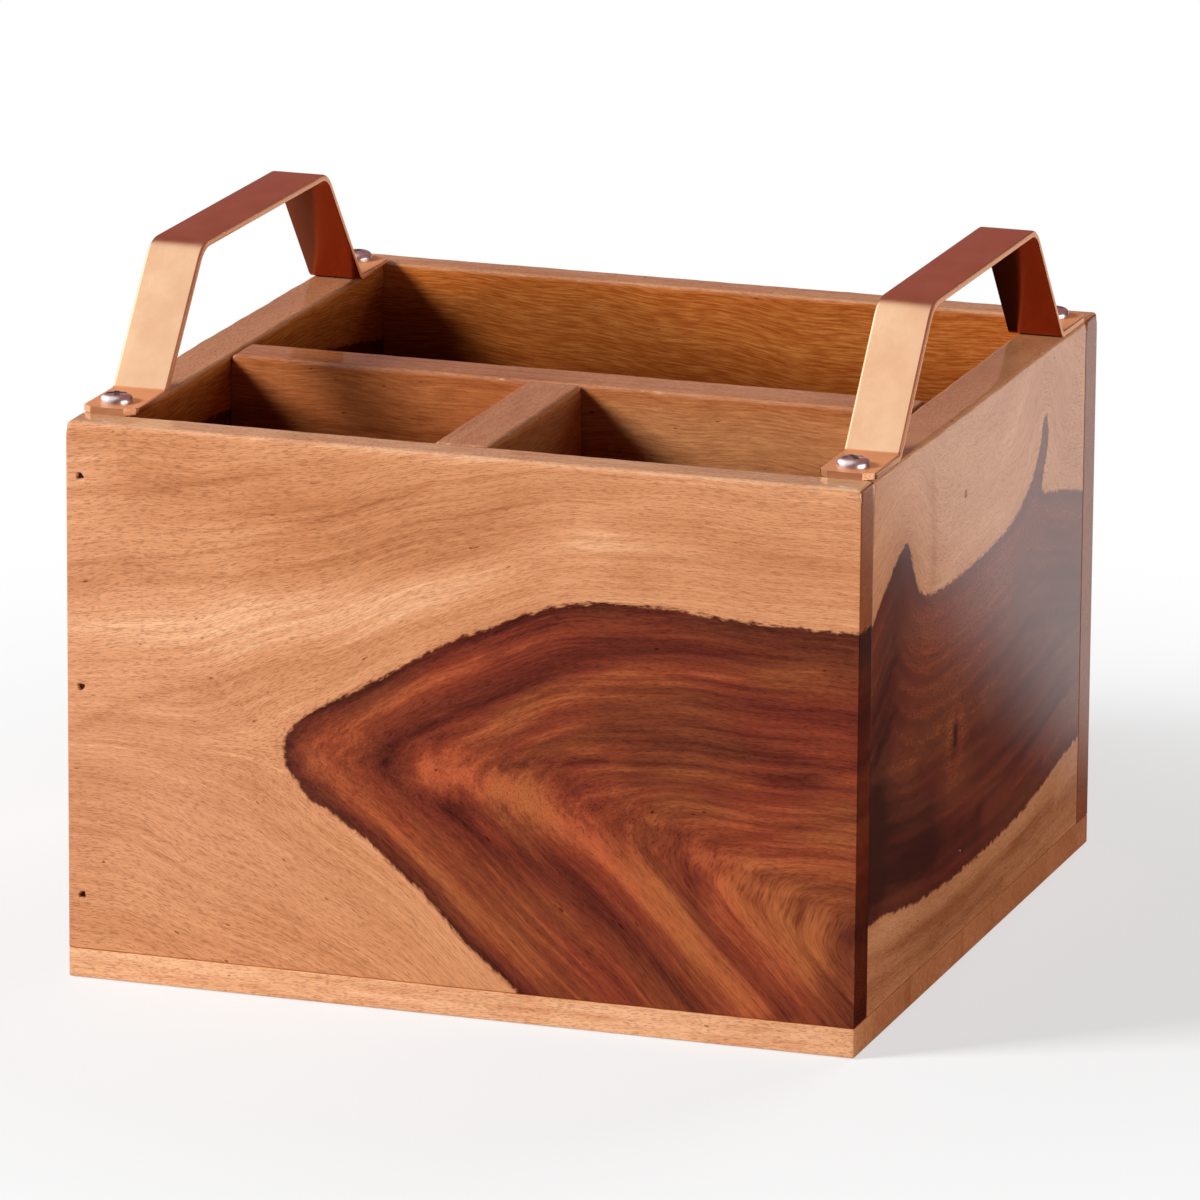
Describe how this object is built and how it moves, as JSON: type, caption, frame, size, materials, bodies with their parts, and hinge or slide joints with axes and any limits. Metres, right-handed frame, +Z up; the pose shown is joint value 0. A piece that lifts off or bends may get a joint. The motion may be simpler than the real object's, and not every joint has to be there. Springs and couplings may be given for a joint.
{
  "type": "cutlery caddy",
  "caption": "Open-topped square hardwood cutlery caddy with a T of dividers making a wide rear bay and narrower front bays, and bent copper strap handles screwed to the rim.",
  "frame": {"origin": "middle of the underside of the base board, on the surface that the caddy stands on", "axes": "+Z up; -Y is the front face, with the two front bays behind it; +X to the right seen from the front, handles at -X and +X"},
  "size_m": [0.1778, 0.1778, 0.153],
  "materials": {
    "front_wood": "satin lacquered rosewood, tan sapwood with a dark heartwood tongue",
    "side_wood": "satin lacquered rosewood, dark heartwood between tan sapwood",
    "back_wood": "satin lacquered rosewood with streaked figure",
    "base_wood": "satin lacquered, paler sapwood board",
    "divider_wood": "satin lacquered, warm golden brown with straight grain",
    "copper_strap": "satin copper plating on a steel strap",
    "screw_steel": "bright nickel plated steel",
    "brad_steel": "dull dark wire steel"
  },
  "bodies": {
    "root": {"back_left_brads": "brad_steel", "back_panel": "back_wood", "back_right_brads": "brad_steel", "base_back_brads": "brad_steel", "base_board": "base_wood", "base_front_brads": "brad_steel", "base_left_brads": "brad_steel", "base_long_divider_brads": "brad_steel", "base_right_brads": "brad_steel", "base_short_divider_brad": "brad_steel", "cross_divider_brads": "brad_steel", "front_divider_brads": "brad_steel", "front_left_brads": "brad_steel", "front_panel": "front_wood", "front_right_brads": "brad_steel", "left_divider_brads": "brad_steel", "left_handle": "copper_strap", "left_handle_front_screw": "screw_steel", "left_handle_rear_screw": "screw_steel", "left_panel": "side_wood", "long_divider": "divider_wood", "right_divider_brads": "brad_steel", "right_handle": "copper_strap", "right_handle_front_screw": "screw_steel", "right_handle_rear_screw": "screw_steel", "right_panel": "side_wood", "short_divider": "divider_wood"}
  },
  "joints": []
}
